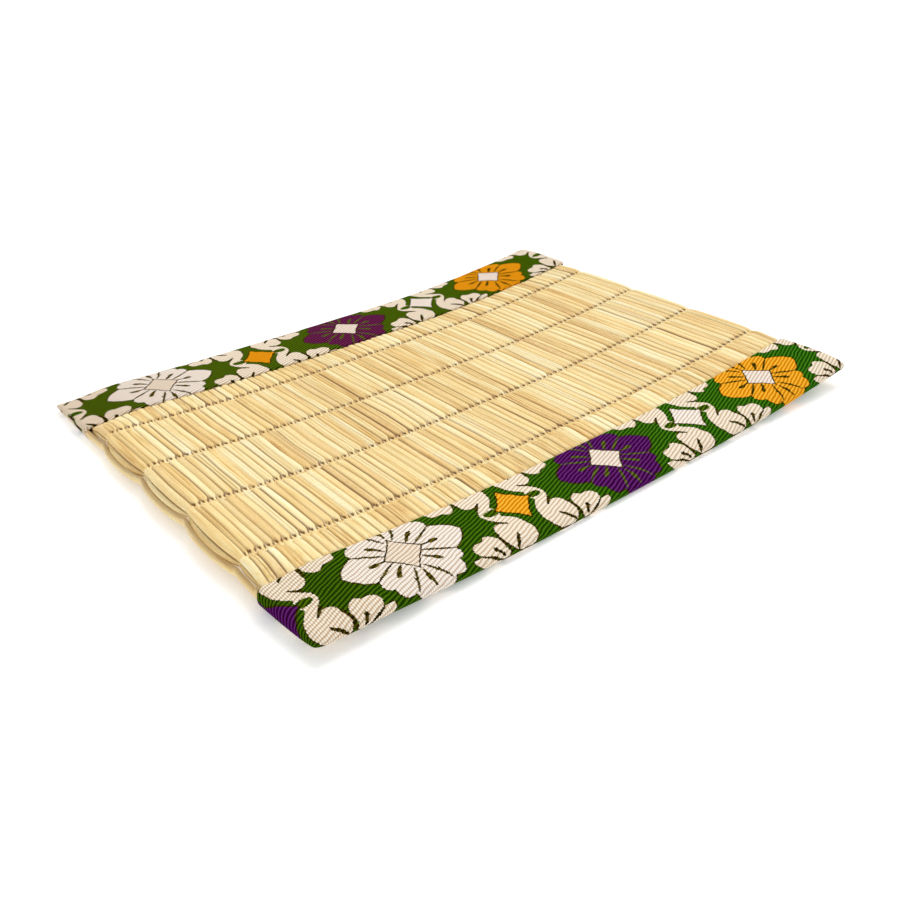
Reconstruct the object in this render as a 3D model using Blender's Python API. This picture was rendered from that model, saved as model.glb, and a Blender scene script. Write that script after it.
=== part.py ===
"""A small tatami mat: one woven rush sheet with a brocade binding folded over each long edge.

The mat lies in the XY plane with +Z up. X runs along the bindings and the warps, Y runs
along the rushes, from the front binding to the back one. The origin is at the centre of
the footprint, on the surface the mat rests on.
"""

import bmesh
import bpy

MM = 0.001

# Driving sizes of the whole mat; the rushes bulge a little past the bindings' ends
BINDING_LENGTH = 130 * MM
MAT_WIDTH = 100 * MM
CLEARANCE = 0.3 * MM

# The bindings: a cloth tape with its hems turned in, so each flap is a double thickness
FRONT_FACE = 15.4 * MM
BACK_FACE = 17.3 * MM
BINDING_HEIGHT = 3.0 * MM
CLOTH = 1.0 * MM
FOLD_RADIUS = 1.2 * MM
FOLD_SEGMENTS = 3
BINDING_STEP = 5 * MM

# The rush sheet: rushes dive between paired warps, which leaves bands of round ribs
WARP_PITCH = 17.5 * MM
WARP_SHIFT = -1.4 * MM
FULL_BANDS = 3
RIBS_PER_BAND = 84
RUSH_CROWN = 1.2 * MM
RUSH_PINCH = 0.55 * MM
RIB_RELIEF = 0.5 * MM
RUSH_BODY_HALF = 64.6 * MM
EDGE_BULGE = 0.9 * MM
RIBS_PER_UNDER_FACE = 3

# The rushes are squeezed into a thin tongue that starts just short of each binding
TONGUE_HALF = 0.2 * MM
TONGUE_LEAD = 0.5 * MM

# How a band's face rises from one warp line and falls to the next
BAND_SHAPE = (
    {"share": 0.00, "rise": 0.00},
    {"share": 0.14, "rise": 0.72},
    {"share": 0.50, "rise": 1.00},
    {"share": 0.86, "rise": 0.72},
)
# The strip between the last warp line and a binding
EDGE_STRIP_SHAPE = (
    {"share": 0.00, "rise": 0.00},
    {"share": 0.33, "rise": 0.72},
    {"share": 0.80, "rise": 0.95},
)

# The lie of the mat: its middle is flat on the surface and both ends lift a little
FLAT_FROM = -12 * MM
FLAT_TO = 10 * MM
LIFT_AT_START = {"front": 2.5 * MM, "middle": 2.9 * MM, "back": 0.9 * MM}
LIFT_AT_END = {"front": 2.7 * MM, "middle": 3.1 * MM, "back": 3.6 * MM}

FRONT = -1
BACK = 1
MID_HEIGHT = BINDING_HEIGHT / 2
HALF_LENGTH = BINDING_LENGTH / 2
HALF_WIDTH = MAT_WIDTH / 2
TONGUE_END = HALF_WIDTH - CLOTH - CLEARANCE
TONGUE_HALF_LENGTH = HALF_LENGTH - CLOTH - CLEARANCE


def clear_scene():
    for thing in list(bpy.data.objects):
        bpy.data.objects.remove(thing, do_unlink=True)


def cloth_like(name, colour, roughness):
    """A plain non-metal material in the piece's colour."""
    material = bpy.data.materials.new(name)
    material.use_nodes = True
    surface = material.node_tree.nodes["Principled BSDF"]
    surface.inputs["Base Color"].default_value = (*colour, 1.0)
    surface.inputs["Roughness"].default_value = roughness
    surface.inputs["Metallic"].default_value = 0.0
    return material


def across(lift, y):
    """An end's lift at width y: a parabola through its values at front, middle and back."""
    side = y / HALF_WIDTH
    tilt = (lift["back"] - lift["front"]) / 2
    crown = (lift["back"] + lift["front"]) / 2 - lift["middle"]
    return lift["middle"] + tilt * side + crown * side * side


def lie(x, y):
    """How far the mat is lifted off the surface at a point of its plan."""
    start = max(0.0, (FLAT_FROM - x) / (FLAT_FROM + HALF_LENGTH))
    end = max(0.0, (x - FLAT_TO) / (HALF_LENGTH - FLAT_TO))
    return across(LIFT_AT_START, y) * start**2 + across(LIFT_AT_END, y) * end**2


def lay_down(mesh):
    """Lifts a flat-built mesh to the lie of the mat."""
    for vertex in mesh.verts:
        vertex.co.z += lie(vertex.co.x, vertex.co.y)


def finish_object(name, shape, material):
    """Turns a bmesh into a named, smoothly shaded object with its material."""
    mesh = bpy.data.meshes.new(name)
    bmesh.ops.recalc_face_normals(shape, faces=shape.faces[:])
    shape.to_mesh(mesh)
    shape.free()
    mesh.shade_smooth()
    mesh.set_sharp_from_angle(angle=0.6)
    mesh.materials.append(material)
    thing = bpy.data.objects.new(name, mesh)
    bpy.context.scene.collection.objects.link(thing)
    return thing


def face_width(side):
    return BACK_FACE if side == BACK else FRONT_FACE


def tongue_start(side):
    """Where along Y the rushes reach their squeezed thickness, just short of the binding."""
    return side * (HALF_WIDTH - face_width(side) - TONGUE_LEAD)


def strip_rows(side):
    """The rows of the strip beside one binding, from the last warp line outwards."""
    warp = side * FULL_BANDS * WARP_PITCH / 2 + WARP_SHIFT
    width = tongue_start(side) - warp
    band = FULL_BANDS if side == BACK else -1
    return [
        {"y": warp + point["share"] * width, "rise": point["rise"], "band": band}
        for point in EDGE_STRIP_SHAPE
    ]


def band_rows():
    """One row for each line of points across the woven bands, from front to back."""
    rows = strip_rows(FRONT)[:0:-1]
    for band in range(FULL_BANDS):
        start = (band - FULL_BANDS / 2) * WARP_PITCH + WARP_SHIFT
        for point in BAND_SHAPE:
            rows.append({"y": start + point["share"] * WARP_PITCH, "rise": point["rise"], "band": band})
    return rows + strip_rows(BACK)


def woven_row(row):
    """A row's heights above and below the sheet's middle, on a rib and between ribs, and its reach."""
    swell = RUSH_PINCH + (RUSH_CROWN - RUSH_PINCH) * row["rise"]
    return {
        "y": row["y"],
        "band": row["band"],
        "crest": swell,
        "valley": swell - RIB_RELIEF * row["rise"],
        "under": swell,
        "half_length": RUSH_BODY_HALF + EDGE_BULGE * row["rise"],
    }


def tongue_row(y):
    """A smooth, squeezed row inside a binding."""
    return {
        "y": y,
        "band": 0,
        "crest": TONGUE_HALF,
        "valley": TONGUE_HALF,
        "under": TONGUE_HALF,
        "half_length": TONGUE_HALF_LENGTH,
    }


def sheet_rows():
    """Every row of the sheet, from the tongue in the front binding to the one in the back."""
    front = [tongue_row(-TONGUE_END), tongue_row(tongue_start(FRONT))]
    back = [tongue_row(tongue_start(BACK)), tongue_row(TONGUE_END)]
    return front + [woven_row(row) for row in band_rows()] + back


def upper_line(shape, row):
    """The points of one row on the upper face, two for each rib of the row's band and its neighbours."""
    columns = 2 * RIBS_PER_BAND
    line = []
    for column in range(columns + 1):
        share = 2 * column / columns - 1
        at_end = column in (0, columns)
        reach = row["half_length"] if at_end else min(RUSH_BODY_HALF, row["half_length"])
        on_crest = not at_end and (column + row["band"]) % 2 == 1
        height = row["crest"] if on_crest else row["valley"]
        line.append(shape.verts.new((share * reach, row["y"], MID_HEIGHT + height)))
    return line


def rush_sheet(material):
    """The woven sheet: ribbed bands above, smooth bands below, and a squeezed tongue in each binding."""
    shape = bmesh.new()
    skip = 2 * RIBS_PER_UNDER_FACE
    top, under = [], []
    for row in sheet_rows():
        line = upper_line(shape, row)
        top.append(line)
        low = MID_HEIGHT - row["under"]
        under.append([shape.verts.new((point.co.x, point.co.y, low)) for point in line[::skip]])
    for lines in (top, under):
        for near, far in zip(lines, lines[1:]):
            for here in range(len(near) - 1):
                shape.faces.new((near[here], near[here + 1], far[here + 1], far[here]))
    for side in (0, -1):
        for here in range(len(top) - 1):
            ends = (top[here][side], top[here + 1][side], under[here + 1][side], under[here][side])
            shape.faces.new(ends)
        for here in range(len(under[side]) - 1):
            upper = top[side][here * skip : (here + 1) * skip + 1]
            shape.faces.new((under[side][here], *upper, under[side][here + 1]))
    lay_down(shape)
    return finish_object("rush_sheet", shape, material)


def binding(name, side, material):
    """A cloth pocket open towards the middle of the mat: flap, outer fold, underside and turned-in ends."""
    shape = bmesh.new()
    bmesh.ops.create_cube(shape, size=1.0)
    width = face_width(side)
    centre = side * (HALF_WIDTH - width / 2)
    bmesh.ops.scale(shape, vec=(BINDING_LENGTH, width, BINDING_HEIGHT), verts=shape.verts[:])
    bmesh.ops.translate(shape, vec=(0, centre, MID_HEIGHT), verts=shape.verts[:])
    mouth = [face for face in shape.faces if face.normal.y * side < -0.5]
    bmesh.ops.delete(shape, geom=mouth, context="FACES")
    folds = [edge for edge in shape.edges if not edge.is_boundary]
    bmesh.ops.bevel(
        shape,
        geom=folds,
        offset=FOLD_RADIUS,
        offset_type="OFFSET",
        segments=FOLD_SEGMENTS,
        profile=0.5,
        affect="EDGES",
    )
    steps = round(BINDING_LENGTH / BINDING_STEP)
    for step in range(1, steps):
        cut = step * BINDING_STEP - HALF_LENGTH
        everything = shape.verts[:] + shape.edges[:] + shape.faces[:]
        bmesh.ops.bisect_plane(shape, geom=everything, plane_co=(cut, 0, 0), plane_no=(1, 0, 0))
    lay_down(shape)
    thing = finish_object(name, shape, material)
    wall = thing.modifiers.new("cloth", "SOLIDIFY")
    wall.thickness = CLOTH
    wall.offset = -1.0
    wall.use_even_offset = True
    return thing


def main():
    clear_scene()
    rush = cloth_like("rush", (0.82, 0.66, 0.35), 0.55)
    brocade = cloth_like("brocade", (0.05, 0.16, 0.02), 0.7)
    rush_sheet(rush)
    binding("binding_front", FRONT, brocade)
    binding("binding_back", BACK, brocade)


main()
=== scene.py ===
# %% [markdown]
# # A small tatami mat
# The real mat is three pieces of soft stuff: a sheet of dried rushes woven on thin warps, and two
# brocade tapes folded over its long edges. The imported model gives their place and size, and this
# script gives them the weave, the folds and the finish that a photograph shows.
# The frame is loaded first, and the box of each of its parts is printed.

# %% Load the frame
import math

import bpy
import numpy as np
from mathutils import Matrix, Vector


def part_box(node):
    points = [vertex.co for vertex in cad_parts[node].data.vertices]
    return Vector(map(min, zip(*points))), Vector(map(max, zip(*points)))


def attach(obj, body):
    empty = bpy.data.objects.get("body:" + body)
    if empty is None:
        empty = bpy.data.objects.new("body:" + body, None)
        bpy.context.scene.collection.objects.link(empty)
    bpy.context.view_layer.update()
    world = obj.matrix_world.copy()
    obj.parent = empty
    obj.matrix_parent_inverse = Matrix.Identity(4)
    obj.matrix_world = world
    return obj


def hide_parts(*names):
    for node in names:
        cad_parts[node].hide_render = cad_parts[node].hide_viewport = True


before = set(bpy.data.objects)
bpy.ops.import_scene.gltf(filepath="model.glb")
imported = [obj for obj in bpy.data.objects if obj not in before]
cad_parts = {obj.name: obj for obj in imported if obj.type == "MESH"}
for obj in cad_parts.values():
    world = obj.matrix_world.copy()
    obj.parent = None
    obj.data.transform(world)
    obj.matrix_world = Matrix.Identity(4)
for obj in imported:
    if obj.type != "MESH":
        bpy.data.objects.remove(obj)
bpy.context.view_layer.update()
for name in sorted(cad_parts):
    low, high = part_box(name)
    print(name, [round(1000 * v, 1) for v in low], [round(1000 * v, 1) for v in high])

# %% [markdown]
# ## Sizes and the lie of the mat
# All sizes are in millimetres until a mesh is finished. The mat isn't quite flat: its middle rests on
# the surface and both ends curl up a little, more at some corners than at others. One function gives
# that lift for any point of the plan, and every piece is made flat first and lifted afterwards. That
# way the cloth and the rushes stay together however the mat bends. At the left end the bindings are
# also pressed flatter, and a second function gives the share of their height that is left.

# %% Sizes shared by every piece
MM = 0.001
HALF_LENGTH = 65.0
HALF_WIDTH = 50.0
MID_HEIGHT = 1.5
BINDING_FACE = {"front": 15.4, "back": 17.3}
FLAT_FROM, FLAT_TO = -12.0, 10.0
LIFT_AT_START = {"front": 2.5, "middle": 2.9, "back": 0.9}
LIFT_AT_END = {"front": 2.7, "middle": 3.1, "back": 3.6}
PRESSED_FROM, PRESSED_OVER, PRESSED_AWAY = -54.0, 10.0, 0.5


def across(lift, y):
    """An end's lift at width y: a parabola through its values at front, middle and back."""
    side = y / HALF_WIDTH
    tilt = (lift["back"] - lift["front"]) / 2
    crown = (lift["back"] + lift["front"]) / 2 - lift["middle"]
    return lift["middle"] + tilt * side + crown * side**2


def smooth(t):
    """Goes from 0 to 1 as t does, with a soft start and stop."""
    return t * t * (3 - 2 * t)


def pressed(x):
    """The share of their height that the bindings keep at points along the mat."""
    return 1 - PRESSED_AWAY * smooth(np.clip((PRESSED_FROM - x) / PRESSED_OVER, 0, 1))


def lie(x, y):
    """How far the mat is lifted off the surface at points of its plan."""
    start = np.maximum(0, (FLAT_FROM - x) / (FLAT_FROM + HALF_LENGTH))
    end = np.maximum(0, (x - FLAT_TO) / (HALF_LENGTH - FLAT_TO))
    return across(LIFT_AT_START, y) * start**2 + across(LIFT_AT_END, y) * end**2


corners = [(x, y) for x in (-HALF_LENGTH, HALF_LENGTH) for y in (-HALF_WIDTH, HALF_WIDTH)]
print("lift at the four corners:", [round(float(lie(*corner)), 1) for corner in corners], "mm")

# %% [markdown]
# ## The camera
# The camera stands where the photographer stood, at the front left and 30 degrees up. Its lens and
# its small roll come from the mat's own corners and warp lines in the photograph.

# %% Camera
AZIMUTH, ELEVATION, ROLL = (math.radians(a) for a in (-38.57, 29.98, -1.65))
CAMERA_PLACE = (-0.10904, -0.13514, 0.08707)
LENS, SENSOR_WIDTH = 37.0, 36.0
back = np.array(
    [
        math.sin(AZIMUTH) * math.cos(ELEVATION),
        -math.cos(AZIMUTH) * math.cos(ELEVATION),
        math.sin(ELEVATION),
    ]
)
right = np.cross((0, 0, 1), back)
right /= np.linalg.norm(right)
up = np.cross(back, right)
rolled_right = math.cos(ROLL) * right + math.sin(ROLL) * up
rolled_up = math.cos(ROLL) * up - math.sin(ROLL) * right

bpy.ops.object.select_all(action="DESELECT")
bpy.ops.object.camera_add()
camera = bpy.context.object
turn = np.eye(4)
turn[:3, 0], turn[:3, 1], turn[:3, 2], turn[:3, 3] = rolled_right, rolled_up, back, CAMERA_PLACE
camera.matrix_world = Matrix(turn.tolist())
camera.data.lens = LENS
camera.data.sensor_width = SENSOR_WIDTH
camera.data.clip_start = 0.01
bpy.context.scene.camera = camera
print("camera", round(math.dist(CAMERA_PLACE, (0, 0, 0)) / MM), "mm from the middle of the mat")

# %% [markdown]
# ## Helpers for materials
# Colours are written as the hex values that a colour picker shows, so they are turned to linear
# light once, here. A node is added with its settings and its inputs in a single call, which keeps a
# material readable from top to bottom. A colour ramp takes its stops from a short table.

# %% Material helpers


def linear(hex_colour):
    """A colour such as "#e5d7c9" as linear red, green, blue and alpha."""
    parts = [int(hex_colour[k : k + 2], 16) / 255 for k in (1, 3, 5)]
    return (*(p / 12.92 if p <= 0.04045 else ((p + 0.055) / 1.055) ** 2.4 for p in parts), 1.0)


def add(tree, kind, inputs=None, **settings):
    """Adds a node, sets its settings, and gives its inputs a value or a link each."""
    made = tree.nodes.new(kind)
    for name, value in settings.items():
        setattr(made, name, value)
    for name, value in (inputs or {}).items():
        socket = made.inputs[name]
        if isinstance(value, bpy.types.NodeSocket):
            tree.links.new(value, socket)
        else:
            socket.default_value = value
    return made


def new_material(name):
    """An empty node material with its surface shader and its output."""
    material = bpy.data.materials.new(name)
    material.use_nodes = True
    tree = material.node_tree
    return material, tree, tree.nodes["Principled BSDF"]


def set_stops(ramp, stops):
    """Gives a colour ramp its stops, each a place from 0 to 1 and a hex colour."""
    while len(ramp.elements) < len(stops):
        ramp.elements.new(0.5)
    for element, (position, colour) in zip(ramp.elements, stops):
        element.position, element.color = position, linear(colour)


print("mid grey in linear light:", round(linear("#808080")[0], 3))

# %% [markdown]
# ## The rush sheet: how the weave goes
# Tatami facing is woven with a thin rush for every 0.77 mm. In one band a rush passes over, and every
# second one under. At the next warp line they change places, so the ribs of neighbouring bands are
# half a rib apart, and each rib dives at the line. A separate tube for every rush would be heavy and
# would cut into its neighbours. So the sheet is two grids, one for each face, with a column of points
# every quarter of a rush, and the points are lifted to the round backs of the rushes.

# %% Where the rushes run
# How many rush spacings make the sheet, how many spans of the grid each has, and half their length
SPACINGS, SPANS, BODY_HALF = 168, 4, 64.6
BAND_WIDTH = 17.5
FIRST_LINE = -27.65
WARP_LINES = [round(FIRST_LINE + k * BAND_WIDTH, 2) for k in range(4)]
FRONT_MOUTH = -(HALF_WIDTH - BINDING_FACE["front"])
BACK_MOUTH = HALF_WIDTH - BINDING_FACE["back"]
rushes = np.arange(SPACINGS + 1)
print("rushes:", SPACINGS - 1, "spacing", round(2 * BODY_HALF / SPACINGS, 3), "mm; warp lines", WARP_LINES)

# %% A wander for each rush
# A rush strays a little on its own, less where a warp holds it, and a little with its neighbours
OWN_STRAY = {"held": 0.09, "free": 0.13}
MOST_STRAY = 0.26
SHARED_STRAY, SHARED_AT = 0.14, 9
# Near the sheet's ends the rushes stray less, which keeps its outline even
EDGE_SHARE, EDGE_RUSHES = 0.4, 12
chance = np.random.default_rng(11)

# Each rush gets a place of its own along these lines: warp lines, mid bands, mouths and outer folds
wander_rows = [-HALF_WIDTH, FRONT_MOUTH]
for line in WARP_LINES:
    wander_rows += [line, line + BAND_WIDTH / 2]
wander_rows[-1:] = [BACK_MOUTH, HALF_WIDTH]
wander = []
for row in wander_rows:
    own = chance.normal(0, OWN_STRAY["held" if row in WARP_LINES else "free"], SPACINGS + 1)
    shared = chance.normal(0, SHARED_STRAY, SHARED_AT)
    shared = np.interp(rushes, np.linspace(0, SPACINGS, SHARED_AT), shared)
    own[[0, 1, -2, -1]] *= EDGE_SHARE
    shared *= np.minimum(1, np.minimum(rushes, SPACINGS - rushes) / EDGE_RUSHES)
    wander.append(np.clip(own, -MOST_STRAY, MOST_STRAY) + shared)
wander = np.array(wander)


def rush_places(y):
    """The X of every rush at one Y, with its wander."""
    even = (2 * rushes / SPACINGS - 1) * BODY_HALF
    own = np.array([np.interp(y, wander_rows, wander[:, c]) for c in rushes])
    return even + own


print("wander along", len(wander_rows), "lines, at most", abs(wander).max().round(2), "mm")

# %% [markdown]
# ## The rows of the sheet
# A row of points lies closer to the next one at a warp line, where a rib bends fast, than in the
# middle of a band, where it is straight. Each row knows its band and how far it is from its warp
# line. It also knows how much a binding squeezes it, how far its two ends swell out, and how near a
# mouth it lies, because there the rushes are pressed flat together with the binding.

# %% Rows
ROWS_FROM_LINE = (0.35, 0.8, 1.4, 2.4, 4.0, 6.3)
# Two rows in front of a mouth, then those from 0.3 mm in front of it inwards, with their squeeze
BEFORE_MOUTH = (1.5, 0.8)
BEYOND_MOUTH = ((-0.3, 0.2), (0.1, 0.75), (0.5, 1.0), (2.0, 1.0), (13.4, 1.0))
STRIP_BULGE = 0.6
# Where the bindings are pressed flat, the rushes are too, from this far in front of the mouth
PRESSED_NEAR = 3.5


def woven(y, band, distance):
    """A row of open weave."""
    return {"y": y, "band": band, "distance": distance, "squeeze": 0.0, "bulge": 1.0, "by_mouth": 0.0}


def strip(line, mouth, band):
    """The rows from the outermost warp line to a binding's mouth and on into the binding."""
    side = 1 if mouth > line else -1
    width = abs(mouth - line)
    distances = (*ROWS_FROM_LINE[:-1], *(width - before for before in BEFORE_MOUTH))
    made = [woven(line + side * d, band, d) for d in distances]
    for beyond, squeeze in BEYOND_MOUTH:
        made.append(woven(mouth + side * beyond, band, width) | {"squeeze": squeeze})
    for row in made:
        row["bulge"] = STRIP_BULGE * max(0.0, 1 - row["distance"] / width)
        row["by_mouth"] = max(0.0, 1 - (width - row["distance"]) / PRESSED_NEAR)
    return made


sheet_rows = strip(WARP_LINES[0], FRONT_MOUTH, -1)[::-1]
for band, line in enumerate(WARP_LINES):
    sheet_rows.append(woven(line, band, 0.0))
    if line != WARP_LINES[-1]:
        sheet_rows += [woven(line + d, band, d) for d in ROWS_FROM_LINE]
        sheet_rows.append(woven(line + BAND_WIDTH / 2, band, BAND_WIDTH / 2))
        sheet_rows += [woven(line + BAND_WIDTH - d, band, d) for d in ROWS_FROM_LINE[::-1]]
sheet_rows += strip(WARP_LINES[-1], BACK_MOUTH, len(WARP_LINES) - 1)
print("rows:", len(sheet_rows), "columns:", SPACINGS * SPANS + 1)

# %% [markdown]
# ## The backs of the rushes
# Along one row, each column belongs to the rib on top of it. The rib's back is a flattened round.
# Some ribs are two thin rushes side by side, and every rib is a little higher or lower than the
# next. Close to a warp line the rib narrows, and its neighbour shows beside it, lower down, where it
# dives. The photograph shows small dark dots there, most of them just behind the line. They are
# drawn as colour, beside the narrow tip of each rib, because so small a hole is only a shadow.

# %% Which rib passes over each column
columns = np.arange(SPACINGS * SPANS + 1) / SPANS
# In every second band the ribs at the sheet's ends are of another width: from, to, middle and reach
END_RIBS = ((0, 2, 1, 1), (2, 3, 2.5, 0.5))


def ribs_of(parity):
    """For every column, the middle and half width, in spacings, of the rib that passes over it."""
    middle = 2 * np.floor((columns + (1 - parity)) / 2) + parity
    half = np.ones_like(columns)
    if parity == 0:
        for start, stop, centre, reach in END_RIBS:
            near = (columns >= start) & (columns <= stop)
            far = (columns >= SPACINGS - stop) & (columns <= SPACINGS - start)
            middle[near], half[near] = centre, reach
            middle[far], half[far] = SPACINGS - centre, reach
    return middle, half


print("ribs in a band:", [len(set(ribs_of(parity)[0])) for parity in (0, 1)])

# %% What differs from rib to rib
# Heights are in mm. There is a set for each band and face, and one band to spare.
SETS = (6, 2)
HEIGHT_SPREAD, LOWEST, HIGHEST = 0.07, -0.16, 0.1
SPLIT_SHARE = 0.42
# How strong the painted shade in each groove is, and how often each strength comes
GAP_SHADES, GAP_SHARES = (0.5, 0.9, 1.3, 1.8), (0.25, 0.35, 0.28, 0.12)
rib_height = chance.normal(0, HEIGHT_SPREAD, (*SETS, SPACINGS + 2)).clip(LOWEST, HIGHEST)
rib_split = chance.random((*SETS, SPACINGS + 2)) < SPLIT_SHARE
gap_dark = chance.choice(GAP_SHADES, (*SETS, SPACINGS + 1), p=GAP_SHARES)
print("rib heights differ by", np.ptp(rib_height).round(2), "mm; split:", int(100 * rib_split.mean()), "%")

# %% Rib profile
# Heights above the sheet's middle: on a rib, at a warp line and in the strip beside a binding
CROWN, PINCH, STRIP_CROWN = 1.15, 0.78, 0.86
# Ribs come down to the strip's height over this width. Inside a binding each face has its own height.
STRIP_OVER = 4.0
INSIDE_BINDING = (0.12, 0.55)
# A rib is straight again 3 mm from its line, and as wide as it gets 1.35 mm from it
DIVE = 3.0
NARROW_FROM, NARROW_OVER = 0.35, 1.0
NEIGHBOUR = 0.6
# Grooves: how deep on a line, near one and further away, and how round the back between them is
LINE_GROOVE, NEAR_GROOVE, GROOVE, NEAR_LINE = 0.3, 0.42, 0.43, 2.0
ROUNDNESS = 2.8
# A split rib is two thin rushes: the height of their joint, and how far their backs rise above it
SPLIT_LOW, SPLIT_HIGH, SPLIT_ADDS = 0.5, 0.45, 0.05
# Painted shade on a line and in a groove, and painted shadow dots in front of a line and behind it
LINE_DARK, GAP_DARK = 0.5, 0.85
DOT_AT, DOT_LENGTH, DOT_WIDTH = 0.42, 0.3, 0.2
DOTS = (0.4, 2.9)
# Squeezed ribs are shallower and their painted shade is paler. The back binding stands off them, and its
# shadow on them is painted as a dark line.
SQUEEZED_SHALLOWER, SQUEEZED_PALER, BACK_JOINT_SHADOW = 0.55, 0.6, 0.7
MID_STRIP = (WARP_LINES[0] + WARP_LINES[-1]) / 2
STRIP_FROM = (WARP_LINES[-1] - WARP_LINES[0]) / 2 + 2


def bump(share):
    """The height of a half circle over its width, from 0 at share -1 to 1 in the middle."""
    return np.sqrt(np.clip(1 - share**2, 0, 1))


def on_the_line(away, edge_rib):
    """Depth and painted shade on a warp line, where every rush shows half a rib's width."""
    depth = LINE_GROOVE * np.where(edge_rib, 0, 1 - bump(2 * np.minimum(away, 1 - away)))
    return depth, LINE_DARK * depth


def beside_the_line(row, away, half, edge_rib, splits, own_gap):
    """The same for a rib that starts half as wide, with the diving neighbour's back in the rest."""
    distance = row["distance"]
    narrow = 0.5 + 0.5 * np.clip((distance - NARROW_FROM) / NARROW_OVER, 0, 1)
    narrow = np.where(edge_rib | (half < 1), 1.0, narrow)
    share = away / (half * narrow)
    back_of_rib = np.sqrt(np.clip(1 - share**ROUNDNESS, 0, 1))
    in_gap = np.clip((1 - away) / np.maximum(1 - narrow, 0.01), 0, 1)
    diving = bump(in_gap) * NEIGHBOUR * max(0.0, 1 - distance / (NARROW_FROM + NARROW_OVER))
    back_of_rib = np.where((share > 1) & (narrow < 1), diving, back_of_rib)
    splits = splits & ~edge_rib & (half == 1) & (distance > NARROW_FROM) & (share < 0.98)
    two_backs = SPLIT_LOW + SPLIT_HIGH * bump(2 * share - 1)
    back_of_rib = np.where(splits, np.minimum(back_of_rib + SPLIT_ADDS, two_backs), back_of_rib)
    depth = (NEAR_GROOVE if distance < NEAR_LINE else GROOVE) * (1 - back_of_rib)
    dot = math.exp(-(((distance - DOT_AT) / DOT_LENGTH) ** 2))
    at_tip = np.exp(-(((away / half - narrow) / DOT_WIDTH) ** 2))
    behind_line = row["y"] > min(WARP_LINES, key=lambda line: abs(line - row["y"]))
    # Painted shade in the groove, and painted shadow dots beside the narrow tip of each rib
    dark = GAP_DARK * own_gap * (1 - back_of_rib) * (1 - dot) + DOTS[behind_line] * dot * at_tip
    return depth, dark


def row_profile(row, face):
    """Heights of one row above or below the sheet's middle, its painted shade at each point, and the crests.
    """
    middle, half = ribs_of((row["band"] + face) % 2)
    edge_rib = (middle == 1) | (middle == SPACINGS - 1)
    away = np.abs(columns - middle)
    own = (row["band"] + 1, face, np.floor(middle).astype(int))
    risen = 1 - (1 - np.clip(row["distance"] / DIVE, 0, 1)) ** 3
    crest = PINCH + (CROWN - PINCH + rib_height[own]) * risen
    if row["distance"] == 0:
        depth, dark = on_the_line(away, edge_rib)
    else:
        gap = np.minimum(np.round(columns), SPACINGS).astype(int)
        own_gap = gap_dark[row["band"] + 1, face, gap]
        depth, dark = beside_the_line(row, away, half, edge_rib, rib_split[own], own_gap)
    beyond = abs(row["y"] - MID_STRIP) - STRIP_FROM
    crest = crest - (CROWN - STRIP_CROWN) * min(1, max(0, beyond / STRIP_OVER))
    crest = crest * (1 - row["squeeze"]) + INSIDE_BINDING[face] * row["squeeze"]
    depth = depth * (1 - SQUEEZED_SHALLOWER * row["squeeze"])
    dark = dark * (1 - SQUEEZED_PALER * row["squeeze"])
    # Painted shadow of the back binding's edge on the rushes at its mouth
    if row["squeeze"] and row["y"] > 0:
        dark = dark + BACK_JOINT_SHADOW
    return crest - depth, dark, crest


mid_band = woven(WARP_LINES[0] + BAND_WIDTH / 2, 0, BAND_WIDTH / 2)
heights, *_ = row_profile(mid_band, 0)
print("in mid band the ribs stand up to", np.ptp(heights[SPANS:-SPANS]).round(2), "mm over the grooves")

# %% [markdown]
# ## The sheet's left and right edges
# The outermost rush shows its whole round side, so its outer half isn't a height over the plan but
# part of a circle, from its back round to the groove where it meets the rush below. Between two warp
# lines these edge rushes swell outwards, the lower one more than the upper one.

# %% Edge rushes
# Angles of the points round a rush's outer side, from the joint of the two edge rushes to its back
EDGE_TURN = np.radians((243, 205, 168, 130))
# How far the upper and the lower edge rush swell out between two lines, and draw in at a line
BULGE, PINCH_IN = (0.15, 0.95), 0.3
# The point in the groove between the two edge rushes lies a little further in than a full round
GROOVE_REACH = 0.8
# Inside a binding the rushes end this far short of its closed ends
BINDING_INSET = 1.6
# The rushes at the left edge lie a little lower than the rest
EDGE_SINK, SINK_FROM = 0.7, -61.5
# The joint between the two edge rushes is painted dark as shade, and the line is thin because the points
# beside it are far below 0
EDGE_JOINT_SHADE, BESIDE_JOINT_SHADE = 2.2, -1.3
# The higher, the fuller the swelling is near the lines
LENS_FULLNESS = 2.4


def lens(distance):
    """How far an edge rush has swollen out between two warp lines."""
    return 1 - (1 - np.clip(distance / (BAND_WIDTH / 2), 0, 1)) ** LENS_FULLNESS


def round_edges(x, z, row, face, crest):
    """Moves the outer half of the first and the last rib of a row round its outer side."""
    swell = lens(row["distance"]) * (1 - row["squeeze"]) * row["bulge"]
    for first, inner, outwards in ((0, SPANS, -1), (len(x) - 1, len(x) - 1 - SPANS, 1)):
        half = abs(abs(x[inner] - x[first]) - PINCH_IN * (1 - swell) + BULGE[face] * swell)
        height = crest[inner] / 2
        for step, turn in enumerate(EDGE_TURN):
            point = first - outwards * step
            reach = half * abs(math.cos(turn)) * (1 if step else GROOVE_REACH)
            x[point] = x[inner] + outwards * reach
            z[point] = height + height * math.sin(turn)
        z[first] = 0.0


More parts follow.
